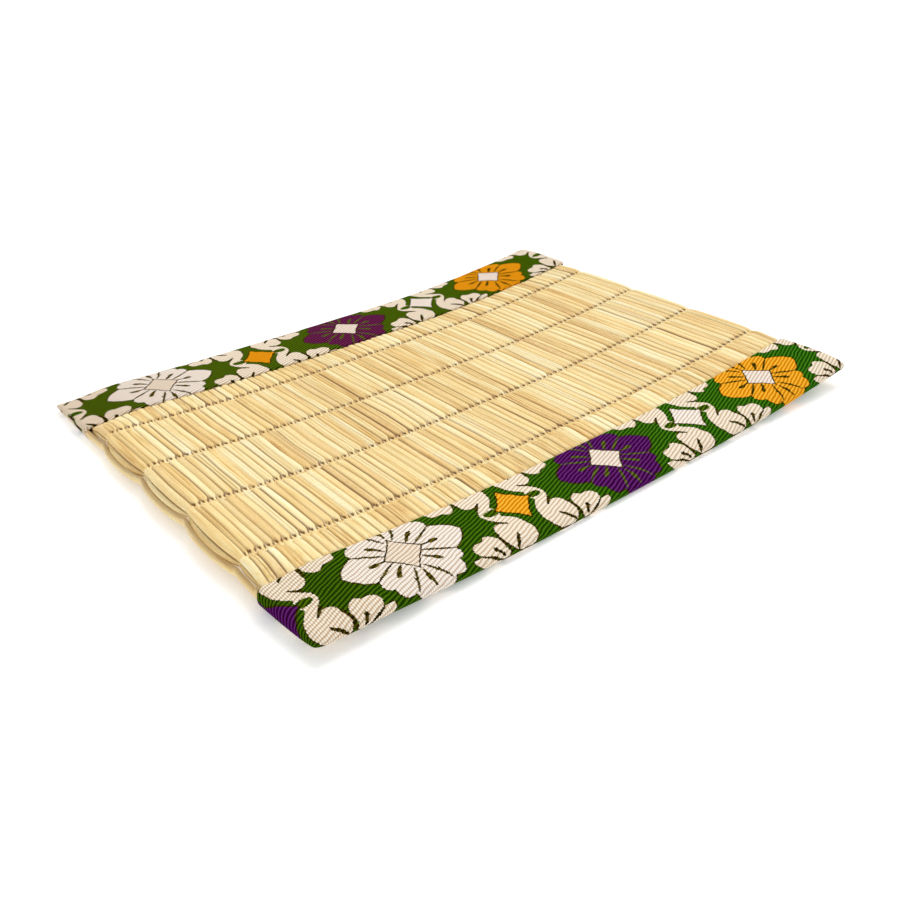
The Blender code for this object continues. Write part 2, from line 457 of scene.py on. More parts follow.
def rush_face(face):
    """The points of the upper face (0) or the lower face (1), row by row, and the painted shade at each."""
    points, painted_shades = [], []
    side = 1 if face == 0 else -1
    for row in sheet_rows:
        z, dark, crest = row_profile(row, face)
        x = np.interp(columns, rushes, rush_places(row["y"]))
        round_edges(x, z, row, face, crest)
        # Painted shade in the joint between the two edge rushes, kept thin by the points beside it
        dark[[0, -1]] = EDGE_JOINT_SHADE * (1 - row["squeeze"])
        dark[[1, -2]] = BESIDE_JOINT_SHADE
        if row["squeeze"] > 0.5:
            x = x * (1 - BINDING_INSET / BODY_HALF)
        y = np.full_like(x, row["y"])
        if row is sheet_rows[0] or row is sheet_rows[-1]:
            z = np.zeros_like(z)
        squash = 1 - row["by_mouth"] * (1 - pressed(x))
        edge_sinks = EDGE_SINK * np.clip((SINK_FROM - x) / (SINK_FROM + BODY_HALF), 0, 1) ** 2
        height = (MID_HEIGHT + side * z) * squash - edge_sinks * (1 - row["squeeze"])
        points.append(np.stack([x, y, height], -1))
        painted_shades.append(dark)
    return np.array(points), np.array(painted_shades)


upper, upper_shade = rush_face(0)
lower, lower_shade = rush_face(1)
for end in (0, -1):
    lower[:, end] = upper[:, end]
print("upper face from", upper[..., 2].min().round(2), "to", upper[..., 2].max().round(2), "mm")

# %% [markdown]
# ## Making the sheet
# Each face starts as a grid primitive with the right number of points, which are then set. Every
# face also keeps facts for the material: which rush it belongs to, in which band and on which side,
# and how dark its painted shade is at each point.

# %% Grids with their facts
# How far from its rib's middle, in spacings, a face belongs to the diving neighbour
DIVES_BEYOND = {True: 0.6, False: 1.0}
# This keeps the tones of the lower face apart from those of the upper one
LOWER_MARK = 0.7


def shaped_grid(name, points):
    """A grid primitive whose points are moved to the given ones, rows along Y and columns along X."""
    count_y, count_x, _ = points.shape
    bpy.ops.object.select_all(action="DESELECT")
    bpy.ops.mesh.primitive_grid_add(x_subdivisions=count_x - 1, y_subdivisions=count_y - 1, size=1)
    made = bpy.context.object
    made.name = made.data.name = name
    made.data.vertices.foreach_set("co", (points * MM).astype(np.float32).ravel())
    made.data.update()
    return made


def keep_stalk(mesh, facts):
    """Stores the facts of each face corner's rush as a colour."""
    layer = mesh.color_attributes.new(name="stalk", type="FLOAT_COLOR", domain="CORNER")
    layer.data.foreach_set("color", facts.ravel())


def keep_painted_shade(mesh, painted_shades):
    """Stores the painted shade at each point as its groove attribute."""
    layer = mesh.attributes.new(name="groove", type="FLOAT", domain="POINT")
    layer.data.foreach_set("value", painted_shades.astype(np.float32).ravel())


def stalk_facts(face):
    """For every face corner the number of its rush, a number for its band and one for its side."""
    rows, wide = len(sheet_rows) - 1, SPACINGS * SPANS
    facts = np.ones((rows, wide, 4, 4), np.float32)
    centre = (np.arange(wide) + 0.5) / SPANS
    for r, (here, there) in enumerate(zip(sheet_rows, sheet_rows[1:])):
        band = there["band"] if here["distance"] == 0 else here["band"]
        middle, _ = ribs_of((band + face) % 2)
        before, after = middle[:-1], middle[1:]
        owner = np.where(np.abs(centre - before) <= np.abs(centre - after), before, after)
        at_line = 0 in (here["distance"], there["distance"])
        dives = np.abs(centre - owner) > DIVES_BEYOND[at_line]
        number = np.where(dives, np.round(centre), owner)
        facts[r, :, :, 0] = number[:, None] / SPACINGS
        facts[r, :, :, 1] = (band + 1) / 5
        facts[r, :, :, 2] = LOWER_MARK * face
    return facts


grids = []
for face, points, painted_shades in ((0, upper, upper_shade), (1, lower, lower_shade)):
    grid = shaped_grid(f"rush_face_{face}", points)
    keep_stalk(grid.data, stalk_facts(face))
    keep_painted_shade(grid.data, painted_shades)
    grids.append(grid)
print("points in each face:", [len(grid.data.vertices) for grid in grids])

# %% [markdown]
# ## One more rush under the left edge
# In the photograph a loose brown rush hangs below the two edge rushes at the left. It is a grid
# rolled to a tube: each row of the sheet gives one ring, which swells between the warp lines as the
# rushes above do, and shrinks to a point at both ends. A cylinder would be as easy, but the grid
# takes its rings from the rows, so it follows the same pinches.

# %% Hanging rush
HANG_X, HANG_Z = -65.0, -0.35
HANG_RADIUS, HANG_SWELL, HANG_OUT, HANG_IN = 0.5, 0.2, 0.6, 0.15
HANG_TALLER = 0.35
# Its section is a little higher than wide, and it sinks half as far as the rushes above it
SECTION_WIDE, SECTION_HIGH = 0.85, 1.15
HANG_SINK = 0.5 * EDGE_SINK
LEAST_BULGE = 0.3
# Painted shade browns it, darkest where it meets the rush above it, with a pale lower rim
HANG_SHADE = ((-0.7, -0.3, 0.6, 0.9), (0.1, 0.36, 0.45, 0.8))
# Facts that no rush of the sheet has, so that its tone is its own
HANG_FACTS = (0.37, 0.9, 0.5, 1.0)
TUBE_SIDES = 12
around = np.arange(TUBE_SIDES + 1) * 2 * math.pi / TUBE_SIDES
rings = []
hung_rows = sheet_rows[2:-2]
for row in hung_rows:
    swell = lens(row["distance"]) * max(row["bulge"], LEAST_BULGE)
    in_front_mouth = row["squeeze"] * (row["y"] < 0)
    radius, taller = HANG_RADIUS + HANG_SWELL * swell, HANG_TALLER * (1 - swell + 2 * in_front_mouth)
    if row is hung_rows[0] or row is hung_rows[-1]:
        radius, taller = 0, 0
    x = HANG_X + HANG_IN * (1 - swell) - HANG_OUT * swell - SECTION_WIDE * radius * np.cos(around)
    z = HANG_Z - HANG_SINK + taller + (SECTION_HIGH * radius + taller) * np.sin(around)
    rings.append(np.stack([x, np.full_like(x, row["y"]), z], -1))
hanging = shaped_grid("hanging_rush", np.array(rings)[:, ::-1])
keep_stalk(hanging.data, np.tile(np.float32(HANG_FACTS), (len(hanging.data.loops), 1)))
keep_painted_shade(hanging.data, np.tile(np.interp(np.sin(around[::-1]), *HANG_SHADE), (len(rings), 1)))
grids.append(hanging)
print("hanging rush:", len(rings), "rings of", TUBE_SIDES, "sides")

# %% [markdown]
# ## Closing the sheet
# The two faces and the hanging rush are joined into one object. Merging the points that lie in the
# same place closes the rims of the sheet and the seam of the tube. Only then does the sheet have an
# inside, so only then are its faces turned outwards.

# %% Join the sheet
MERGE_SHEET = 0.01


def merge_and_face_outwards(gap):
    """Merges the active object's points that lie within the gap, and turns its faces outwards."""
    bpy.ops.object.mode_set(mode="EDIT")
    bpy.ops.mesh.select_all(action="SELECT")
    bpy.ops.mesh.remove_doubles(threshold=gap * MM)
    bpy.ops.mesh.normals_make_consistent(inside=False)
    bpy.ops.object.mode_set(mode="OBJECT")


def lift_piece(piece):
    """Lifts a flat-made piece to the lie of the mat."""
    count = len(piece.data.vertices)
    places = np.zeros(count * 3, np.float32)
    piece.data.vertices.foreach_get("co", places)
    places = places.reshape(-1, 3)
    places[:, 2] += lie(places[:, 0] / MM, places[:, 1] / MM) * MM
    piece.data.vertices.foreach_set("co", places.ravel())
    piece.data.update()


bpy.ops.object.select_all(action="DESELECT")
for grid in grids:
    grid.select_set(True)
bpy.context.view_layer.objects.active = grids[0]
bpy.ops.object.join()
rush = bpy.context.object
rush.name = rush.data.name = "rush_weave"
merge_and_face_outwards(MERGE_SHEET)
bpy.ops.object.shade_smooth()
lift_piece(rush)
print("rush sheet:", len(rush.data.vertices), "points,", 2 * len(rush.data.polygons), "triangles")

# %% [markdown]
# ## Rush: the finish
# The facing is dried igusa rush: a smooth stalk with a thin waxy skin, straw yellow, paler where
# light catches its back. The brown in the grooves, at the warp lines and in the joints is painted
# shade. Every stalk has its own tone, a few are tan or still a little green, and all have fine
# streaks along their length. A photograph of rushes would repeat and blur, so noise stretched along
# each stalk draws the streaks, and the facts kept in the mesh tell one stalk from the next.

# %% Rush material
RUSH_TONES = (
    (0.0, "#bd8434"),
    (0.2, "#dfb468"),
    (0.45, "#f6d58e"),
    (0.75, "#ffecb2"),
    (1.0, "#fff7d2"),
)
# Real streaks of the skin are 0.1 mm across. They are drawn at 0.3 mm, so that they show.
STREAK = {"across": 0.3 * MM, "along": 14 * MM, "detail": 2.0}
# Slow changes of tone along a stalk
BLOTCH = {"across": 1.2 * MM, "along": 9 * MM, "detail": 1.0}
# How much the blotches, the streaks and the stalk itself count in its tone, and what is taken off
TONE_SHARES, TONE_LESS = (0.55, 1.0, 0.62), 0.56
# About one stalk in eight is tan or greenish, and the oddest by six tenths
ODD_FROM, ODD_MOST = 0.88, 0.6
TAN, GREENISH = "#cf9850", "#dcc07a"
# The brown of the painted shade in the grooves, dots and joints
GROOVE_SHADE_BROWN = "#6e3c04"
# Each stalk takes its streaks from another place in the noise
STALK_SHIFT = (0.05, 0.4, 0.05)

# Igusa rush, dried and woven: the waxy skin gives each back a broad soft sheen and no sharp glint
rush_skin, tree, surface = new_material("dried_rush_woven")
stalk = add(tree, "ShaderNodeAttribute", attribute_name="stalk")
groove = add(tree, "ShaderNodeAttribute", attribute_name="groove")
place = add(tree, "ShaderNodeTexCoord")
own = add(tree, "ShaderNodeTexWhiteNoise", {"Vector": stalk.outputs["Vector"]}, noise_dimensions="3D")
own_parts = add(tree, "ShaderNodeSeparateColor", {"Color": own.outputs["Color"]})
shift = {0: own.outputs["Color"], 1: STALK_SHIFT}
shift = add(tree, "ShaderNodeVectorMath", shift, operation="MULTIPLY")
along = {0: place.outputs["Object"], 1: shift.outputs[0]}
along = add(tree, "ShaderNodeVectorMath", along, operation="ADD")
noises = []
for size in (BLOTCH, STREAK):
    scale = (1 / size["across"], 1 / size["along"], 1 / size["across"])
    drawn = add(tree, "ShaderNodeMapping", {"Vector": along.outputs[0], "Scale": scale})
    drawn = {"Vector": drawn.outputs[0], "Scale": 1.0, "Detail": size["detail"]}
    noises.append(add(tree, "ShaderNodeTexNoise", drawn).outputs["Fac"])
tone = -TONE_LESS
for source, share in zip((*noises, own_parts.outputs["Red"]), TONE_SHARES):
    tone = add(tree, "ShaderNodeMath", {0: source, 1: share, 2: tone}, operation="MULTIPLY_ADD").outputs[0]
straw = add(tree, "ShaderNodeValToRGB", {"Fac": tone})
set_stops(straw.color_ramp, RUSH_TONES)

odd = {"Value": own_parts.outputs["Green"], "From Min": ODD_FROM, "From Max": 1.0, "To Max": ODD_MOST}
odd = add(tree, "ShaderNodeMapRange", odd)
odd_colour = {"Factor": own_parts.outputs["Blue"], "A": linear(TAN), "B": linear(GREENISH)}
odd_colour = add(tree, "ShaderNodeMix", odd_colour, data_type="RGBA")
# Painted shade: the groove attribute mixes that brown in at the grooves, dots, joints and under the edge
shade = {"Value": groove.outputs["Fac"], "From Min": 0.2, "From Max": 1.2, "To Max": 0.9}
shade = add(tree, "ShaderNodeMapRange", shade)
colour = straw.outputs[0]
for share, above in ((odd, odd_colour.outputs["Result"]), (shade, linear(GROOVE_SHADE_BROWN))):
    layer = {"Factor": share.outputs[0], "A": colour, "B": above}
    colour = add(tree, "ShaderNodeMix", layer, data_type="RGBA").outputs["Result"]
skin = add(tree, "ShaderNodeBump", {"Height": noises[1], "Strength": 0.35, "Distance": 0.08 * MM})
tree.links.new(colour, surface.inputs["Base Color"])
tree.links.new(skin.outputs["Normal"], surface.inputs["Normal"])
surface.inputs["Roughness"].default_value = 0.5
surface.inputs["Specular IOR Level"].default_value = 0.3
rush.data.materials.append(rush_skin)
print(rush_skin.name, "has", len(tree.nodes), "nodes")

# %% [markdown]
# ## The bindings: a folded tape
# Each long edge is wrapped in a brocade tape. Both its hems are turned in, so a flap is two cloths
# thick and its edge is a soft round fold, and at each end the tape is tucked in and closed. The
# section is drawn as a path: from one hem's cut edge, round the flap's edge, over the flap, round the
# outer fold and back in the same way below. A grid takes that path along the mat, its last columns
# close like the end of a cushion, and Solidify gives the cloth its thickness.

# %% Sizes of a binding
# From the underside to the top of the flap, and the thickness of one cloth
FLAP_HEIGHT, CLOTH = 2.5, 0.36
# The flap's edge is a half round of this radius, drawn at four angles, with the hem turned in below it
HEM_FOLD = 0.375
EDGE_HEIGHT = 0.98
HEM_TURNS = (-60, -20, 20, 60)
# Rows of the hem, by their distance from the flap's edge
HEM_ROWS = (8.0, 5.2, 2.6, 1.0)
# Each end's rounding: how long it is and how square, drawn in seven steps
END_STEPS = 7
LEFT_END = {"front": {"length": 2.2, "square": 2.2}, "back": {"length": 1.2, "square": 3.0}}
RIGHT_END = {"length": 0.8, "square": 3.6}
# At what share of the height the left and the right end close
CLOSES = {"front": (0.08, 0.5), "back": (0.5, 0.4)}
# At the left end the lower flap sags from the rushes, little at the fold and more at the flap's edge
SAG = {"front": (0.3, 2.6), "back": (0.7, 2.1)}
SAG_FROM, SAG_FULL = -52.0, -61.0
# How much further than the mat's length the tape reaches at the left and the right
REACH = {"front": (0.0, 0.0), "back": (0.5, 0.9)}
# The outer corners are rounded in plan: how far the fold draws back at the very ends
CORNER_ROUND = {"front": (1.0, 0.2), "back": (0.15, 0.15)}
CORNER_DEEP = 2.0
# At the left the front tape's end is cut a little aslant and reaches further at the flap's edge
ASLANT = {"front": 0.9, "back": 0.0}
# And there the flap stays up at the mouth: the share of its height at which that corner closes
MOUTH_CLOSES = 0.5
# How far the tape was sewn on out of line: at six places along the mat, along it and across it
SEWN_AT = (-64, -45, -26, -8, 20, 45)
DRIFT_ALONG = {"front": (-0.4, 0.0, 0.0, 0.45, 0.0, -0.3), "back": (2.5, 2.0, 1.7, 1.0, -0.1, 0.1)}
DRIFT_ACROSS = {"front": (0.8, 0.0, 0.0, 0.0, 0.0, 0.0), "back": (0.8, 0.8, 1.2, 0.8, -0.4, -0.4)}
LENGTH_STEP = 1.3
# The middle line of the pattern lies this far in from the fold
CENTRE_FROM_FOLD = 8.7
# The flap puffs up around a line 5 mm in from the fold, and the fold itself wavers: size and width
PUFF, PUFF_AT, PUFF_WIDE = 0.045, 5, 6
WAVER, WAVER_WIDE = 0.05, 2.5
# The point of the upper path up to which the flap counts as flat
FLAT_POINT = 4
print("both tapes:", FLAP_HEIGHT, "mm high, cloth", CLOTH, "mm, hems", HEM_ROWS[0], "mm")

# %% Section of a binding
# Distance in from the outer fold, and height as a share of the flap's, over the upper flap
UPPER_PATH = (
    (13.0, 1.01),
    (11.0, 1.02),
    (9.0, 1.02),
    (7.0, 1.0),
    (5.0, 0.97),
    (3.6, 0.93),
    (2.5, 0.88),
    (1.6, 0.81),
    (0.9, 0.72),
    (0.35, 0.61),
)
FOLD_PATH = ((0.0, 0.45), (0.02, 0.28), (0.15, 0.14), (0.45, 0.05), (1.1, 0.01))
LOWER_FLAT = (2.2, 3.6, 5.2, 7.0, 9.0, 11.0, 13.0)
# The last flat point of each flap lies this far inside its edge
BY_EDGE = 0.9


def hem_turn(face, turn, top):
    """A point of the round edge of a flap, at an angle from straight out."""
    a = math.radians(turn)
    return face + HEM_FOLD * (math.cos(a) - 1), top + HEM_FOLD * (math.sin(a) - 1)


def section(face):
    """The tape's section from hem to hem: distance in from the fold, height, and reach into the ends."""
    top, low = EDGE_HEIGHT * FLAP_HEIGHT, 2 * HEM_FOLD
    path = [(face - depth, top - low, 0.0) for depth in HEM_ROWS]
    path += [(*hem_turn(face, turn, top), (turn + 90) / 180) for turn in HEM_TURNS]
    path.append((face - BY_EDGE, FLAP_HEIGHT, 1.0))
    path += [(inwards, share * FLAP_HEIGHT, 1.0) for inwards, share in UPPER_PATH + FOLD_PATH]
    path += [(inwards, 0.0, 1.0) for inwards in (*LOWER_FLAT, face - BY_EDGE)]
    path += [(*hem_turn(face, turn, low), (90 - turn) / 180) for turn in HEM_TURNS]
    path += [(face - depth, low, 0.0) for depth in HEM_ROWS[::-1]]
    return np.array(path)


for place, face in BINDING_FACE.items():
    print(place, "binding:", len(section(face)), "points round its section")

# %% [markdown]
# ## Folding the tape along the mat
# The section is taken along the mat, one column of points every 1.3 mm and closer in the rounded
# ends. There the tape closes to one height, as a tucked end does. Slow waves keep the flap and the
# fold from looking machined. The tape's own length and width, measured along the cloth, become its
# UV map in millimetres. The woven pattern reads that map, so it runs over the flap, round the fold
# and along the underside as on a real tape, whatever the cloth does.

# %% Columns of a binding


def waves(x, seed, amount):
    """A slow wave along the mat, of lengths that don't fit into one another, so it never repeats."""
    total = np.zeros_like(x)
    for k, length in enumerate((31.0, 17.0, 9.0, 5.3)):
        total += np.sin(2 * math.pi * x / length + seed * (k + 1.7)) / (k + 1.5)
    return amount * total


def columns_along(place):
    """The X of every column, how open the tape is there, and where its rounded ends begin."""
    turns = np.linspace(0, math.pi / 2, END_STEPS + 1)[1:]
    left_end, (more_left, more_right) = LEFT_END[place], REACH[place]
    start = left_end["length"] - HALF_LENGTH - more_left
    stop = HALF_LENGTH + more_right - RIGHT_END["length"]
    x_body = np.linspace(start, stop, round((stop - start) / LENGTH_STEP) + 1)
    x_left = start - left_end["length"] * np.sin(turns) ** (2 / left_end["square"])
    x_right = stop + RIGHT_END["length"] * np.sin(turns) ** (2 / RIGHT_END["square"])
    open_left, open_right = (np.cos(turns) ** (2 / end["square"]) for end in (left_end, RIGHT_END))
    open_left[-1] = open_right[-1] = 0.0
    x = np.concatenate([x_left[::-1], x_body, x_right])
    return x, np.concatenate([open_left[::-1], np.ones_like(x_body), open_right]), (start, stop)


for place in BINDING_FACE:
    x, open_share, body_ends = columns_along(place)
    print(place, "binding:", len(x), "columns, from", x.min().round(1), "to", x.max().round(1), "mm")

# %% Shape of a binding
# The flap puffs only above this share of its height, and the sag grows fast below the flap
PUFFS_ABOVE, SAG_POWER = 0.46, 1.5
CLEAR_OF_FLOOR = 0.02


def folded_points(place, side, seed, path, x, open_share, body_ends):
    """The points of the folded tape, one row for each point of its section."""
    x_grid, inwards = np.meshgrid(x, path[:, 0])
    height, reach = (np.repeat(path[:, k : k + 1], len(x), axis=1) for k in (1, 2))
    puff = waves(x_grid, seed, PUFF) * np.exp(-(((inwards - PUFF_AT) / PUFF_WIDE) ** 2))
    edge_wave = waves(x_grid, seed + 2, WAVER) * np.exp(-((inwards / WAVER_WIDE) ** 2))
    height = np.where(height > PUFFS_ABOVE * FLAP_HEIGHT, height + puff, height)
    from_fold = inwards / BINDING_FACE[place]

    # Both ends close to one height, and at the left the lower flap sags and the end is cut aslant
    closes = np.where(x < 0, *CLOSES[place])
    by_mouth = np.clip(from_fold, 0, 1) ** 2
    closed = (closes + np.maximum(MOUTH_CLOSES - closes, 0) * by_mouth) * FLAP_HEIGHT
    height = pressed(x_grid) * (closed + (height - closed) * (1 - reach * (1 - open_share[None, :])))
    from_left = np.clip((x_grid - SAG_FROM) / (SAG_FULL - SAG_FROM), 0, 1)
    at_fold, at_edge = SAG[place]
    sag = (at_fold + (at_edge - at_fold) * from_fold) * smooth(from_left)
    below_top = 1 - np.clip(height / (FLAP_HEIGHT * pressed(x_grid)), 0, 1)
    height = height - sag * below_top**SAG_POWER
    tucked = np.clip(x_grid, *body_ends)
    x_grid = tucked + (x_grid - tucked) * reach - ASLANT[place] * from_fold * from_left * reach

    # The fold wavers, draws back at the corners, and nothing goes below the surface
    round_corner = np.where(x < 0, *CORNER_ROUND[place]) * (1 - open_share)
    drawn_back = np.abs(edge_wave) + round_corner[None, :] * np.exp(-((inwards / CORNER_DEEP) ** 2))
    y_grid = side * (HALF_WIDTH - inwards - drawn_back)
    lowest = CLEAR_OF_FLOOR - lie(x_grid, y_grid)
    return np.stack([x_grid, y_grid, np.maximum(height, np.minimum(lowest, 0))], -1)


def places_on_tape(place, side, path, x, open_share):
    """How far along and across the tape each point lies, in mm measured on the cloth."""
    closes = np.where(x < 0, *CLOSES[place])
    fall = np.diff(open_share) * FLAP_HEIGHT * (1 - closes[1:])
    along = np.concatenate([[0], np.cumsum(np.hypot(np.diff(x), fall))])
    along -= np.interp(0, x, along)
    outer = int(np.argmin(path[:, 0]))
    lengths = np.concatenate([[0], np.cumsum(np.hypot(*np.diff(path[:, :2], axis=0).T))])
    from_fold = lengths[outer] - lengths
    flat_top = outer - len(UPPER_PATH) + FLAT_POINT
    extra = from_fold[flat_top] - path[flat_top, 0]
    across_tape = -side * (from_fold - (CENTRE_FROM_FOLD + extra))
    drift_along, drift_across = (np.interp(x, SEWN_AT, d[place]) for d in (DRIFT_ALONG, DRIFT_ACROSS))
    across_tape = across_tape[:, None] + drift_across[None, :]
    return np.stack([np.tile(along + drift_along, (len(path), 1)), across_tape], -1)


sags = max(at_edge for at_fold, at_edge in SAG.values())
print("flap", FLAP_HEIGHT, "mm high; at the left the lower one sags by up to", sags, "mm")

# %% Build the bindings
# At the closed ends the upper and the lower cloth meet in the same points
MERGE_TAPE = 0.005


def make_binding(name, place, side, seed):
    """Folds one tape, keeps its length and width as its UV map, and gives the cloth its thickness."""
    path = section(BINDING_FACE[place])
    x, open_share, body_ends = columns_along(place)
    points = folded_points(place, side, seed, path, x, open_share, body_ends)
    on_tape = places_on_tape(place, side, path, x, open_share)
    if side > 0:
        points, on_tape = points[::-1], on_tape[::-1]
    piece = shaped_grid(name, points)
    uv = piece.data.uv_layers["UVMap"]
    corner_point = np.zeros(len(piece.data.loops), np.int32)
    piece.data.loops.foreach_get("vertex_index", corner_point)
    uv.data.foreach_set("uv", on_tape.reshape(-1, 2)[corner_point].astype(np.float32).ravel())
    merge_and_face_outwards(MERGE_TAPE)
    # An open sheet has no inside of its own, so the topmost face says which way is out
    if max(piece.data.polygons, key=lambda face: face.center.z).normal.z < 0:
        piece.data.flip_normals()
    wall = piece.modifiers.new("cloth", "SOLIDIFY")
    wall.thickness, wall.offset = CLOTH * MM, -1.0
    bpy.ops.object.modifier_apply(modifier=wall.name)
    bpy.ops.object.shade_smooth()
    lift_piece(piece)
    print(name, len(piece.data.polygons), "faces; tape", np.ptp(on_tape[:, 0, 1]).round(1), "mm wide")
    return piece


binding_front = make_binding("binding_front_brocade", "front", -1, 0.7)
binding_back = make_binding("binding_back_brocade", "back", 1, 3.1)

# %% [markdown]
# ## Brocade: the pattern
# The tape is a rayon brocade, woven with a green ground and pale, purple and orange floats. Its
# pattern is the common flower and leaf repeat of such edgings: an eight-petalled flower, then a small
# lozenge among leaves, every 45 mm. A quarter of each is enough, because folding the coordinates
# mirrors it. The quarter is drawn from ovals: a Mapping node moves, turns and scales the plane until
# the oval is a circle, and the distance from its middle says what is inside.

# %% Pattern tables
# Each oval: x and y of its middle, half length, half width (all mm), turn in degrees, pointedness
PETALS = (
    (7.5, 0.0, 3.7, 3.5, 0, 0.35),
    (4.0, 0.0, 3.0, 3.0, 0, 0.0),
    (5.3, 4.4, 2.25, 1.75, 15, 0.0),
    (4.3, 6.3, 2.3, 1.75, 60, 0.0),
    (3.0, 3.6, 2.2, 2.0, 45, 0.0),
    (0.0, 8.3, 3.7, 3.1, 0, 0.25),
    (0.0, 5.0, 2.2, 2.6, 0, 0.0),
)
PETAL_LINES = (
    (5.1, 2.3, 2.8, 0.25, 31, 0.0),
    (2.0, 6.1, 2.6, 0.27, 63, 0.0),
    (4.6, 0.0, 1.1, 0.24, 0, 0.0),
    (5.75, 0.0, 1.0, 0.48, 0, 0.2),
    (3.1, 3.2, 1.6, 0.3, 45, 0.0),
    (3.65, 3.75, 0.9, 0.42, 45, 0.0),
    (0.0, 6.7, 0.32, 2.0, 0, 0.0),
)
LEAVES = (
    (5.25, 0.0, 1.6, 2.15, 0, 0.0),
    (4.0, 2.9, 2.9, 1.05, -46, 0.0),
    (4.75, 6.4, 3.2, 3.35, 0, 0.0),
    (3.3, 6.2, 1.75, 2.9, 0, 0.0),
    (6.1, 4.6, 1.6, 1.6, 0, 0.0),
    (10.0, 6.7, 1.6, 2.5, 5, 0.1),
    (11.95, 6.5, 1.7, 1.6, 0, 0.0),
    (10.5, 8.1, 2.3, 1.4, -30, 0.0),
    (12.6, 9.2, 2.8, 1.0, -25, 0.0),
    (4.6, 11.2, 3.0, 1.3, 0, 0.0),
    (7.9, 10.7, 1.3, 1.0, 0, 0.0),
)
LEAF_LINES = (
    (5.4, 2.95, 1.25, 0.3, -40, 0.0),
    (8.15, 7.0, 0.24, 2.5, 0, 0.0),
    (5.7, 7.7, 1.8, 0.36, 54, 0.0),
    (9.9, 8.1, 1.2, 0.28, -58, 0.0),
    (10.3, 7.6, 0.55, 0.42, -58, 0.0),
    (11.4, 8.75, 2.3, 0.24, -27, 0.0),
    (4.6, 9.65, 2.4, 0.24, 7, 0.0),
    (8.6, 9.75, 1.4, 0.24, -10, 0.0),
)
LEAF_EYE = ((4.8, 0.0, 1.55, 0.9, 0, 0.0),)
# Two lozenges: how far they reach along and across the tape, their rim, and how hollow their sides are
HEART, LOZENGE = (3.6, 4.05), (3.75, 4.3)
OUTLINE, HOLLOW = 0.42, 0.35
# From flower to flower along the tape, and from the middle line to where the pattern mirrors across it
REPEAT, HALF_HEIGHT = 45.4, 11.6
print("ovals in the pattern:", sum(len(t) for t in (PETALS, PETAL_LINES, LEAVES, LEAF_LINES, LEAF_EYE)))

# %% [markdown]
# ## Brocade: the places on the tape
# The pattern repeats along the tape and mirrors across it, and every third flower and lozenge has
# the same colours. Ping-pong folds the two coordinates, and rounding the same coordinates counts the
# flowers and lozenges. The outlines go in steps of a thread, so the coordinates are first rounded
# to the thread spacing.

# %% Brocade coordinates
# Real threads of such a tape lie about 0.1 mm apart. They are drawn at 0.2 mm, so that steps show.
THREAD = (0.2, 0.2)
# The cloth is out of line within half a millimetre in all, in patches of about 2 mm
UNEVEN, UNEVEN_PATCH = 0.5, 2.0
PATTERN_SHIFT = {"front": -1.5, "back": -1.2}
# Three colours take turns, and a number for each is put a little way into its third of a ramp
COLOUR_TURNS, INTO_THIRD = 3, 0.1


def pattern_places(tree, tape, place):
    """The cloth's own place, the places by flower and by lozenge, and a number for each of the two."""
    uneven = {"Vector": tape.outputs[0], "Scale": 1 / UNEVEN_PATCH, "Detail": 1.0}
    moved = add(tree, "ShaderNodeTexNoise", uneven).outputs["Color"]
    for other, how in (
        ((0.5, 0.5, 0.5), "SUBTRACT"),
        ((UNEVEN, UNEVEN, 0.0), "MULTIPLY"),
        (tape.outputs[0], "ADD"),
        ((PATTERN_SHIFT[place], 0, 0), "ADD"),
    ):
        moved = add(tree, "ShaderNodeVectorMath", {0: moved, 1: other}, operation=how).outputs[0]
    steps = moved
    for other, how in (((*THREAD, 1), "SNAP"), ((THREAD[0] / 2, THREAD[1] / 2, 0), "ADD")):
        steps = add(tree, "ShaderNodeVectorMath", {0: steps, 1: other}, operation=how).outputs[0]
    parts = add(tree, "ShaderNodeSeparateXYZ", {0: steps})

    count = add(tree, "ShaderNodeMath", {0: parts.outputs[0], 1: REPEAT}, operation="DIVIDE")
    numbers = []
    for rounding in ("ROUND", "FLOOR"):
        number = add(tree, "ShaderNodeMath", {0: count.outputs[0]}, operation=rounding)
        turn = {0: number.outputs[0], 1: COLOUR_TURNS}
        turn = add(tree, "ShaderNodeMath", turn, operation="FLOORED_MODULO")
        turn = {0: turn.outputs[0], 1: 1 / COLOUR_TURNS, 2: INTO_THIRD}
        numbers.append(add(tree, "ShaderNodeMath", turn, operation="MULTIPLY_ADD").outputs[0])
    x = add(tree, "ShaderNodeMath", {0: parts.outputs[0], 1: REPEAT / 2}, operation="PINGPONG")
    y = add(tree, "ShaderNodeMath", {0: parts.outputs[1], 1: HALF_HEIGHT}, operation="PINGPONG")
    from_lozenge = add(tree, "ShaderNodeMath", {0: REPEAT / 2, 1: x.outputs[0]}, operation="SUBTRACT")
    by_flower, by_lozenge = (
        add(tree, "ShaderNodeCombineXYZ", {0: across.outputs[0], 1: y.outputs[0]}).outputs[0]
        for across in (x, from_lozenge)
    )
    return moved, by_flower, by_lozenge, numbers


print("flowers along a binding:", round(2 * HALF_LENGTH / REPEAT, 1))

# %% [markdown]
# ## Brocade: flowers, leaves and lozenges
# The pattern is laid on the ground piece by piece, from the leaves at the bottom to the lozenges on
# top. Each layer is a distance, the limit up to which it covers, and a colour. A dark rim is the
# same shape with a higher limit, laid first.

# %% Pattern colours
# A rim reaches 8 % further than its shape
EDGING = 1.08
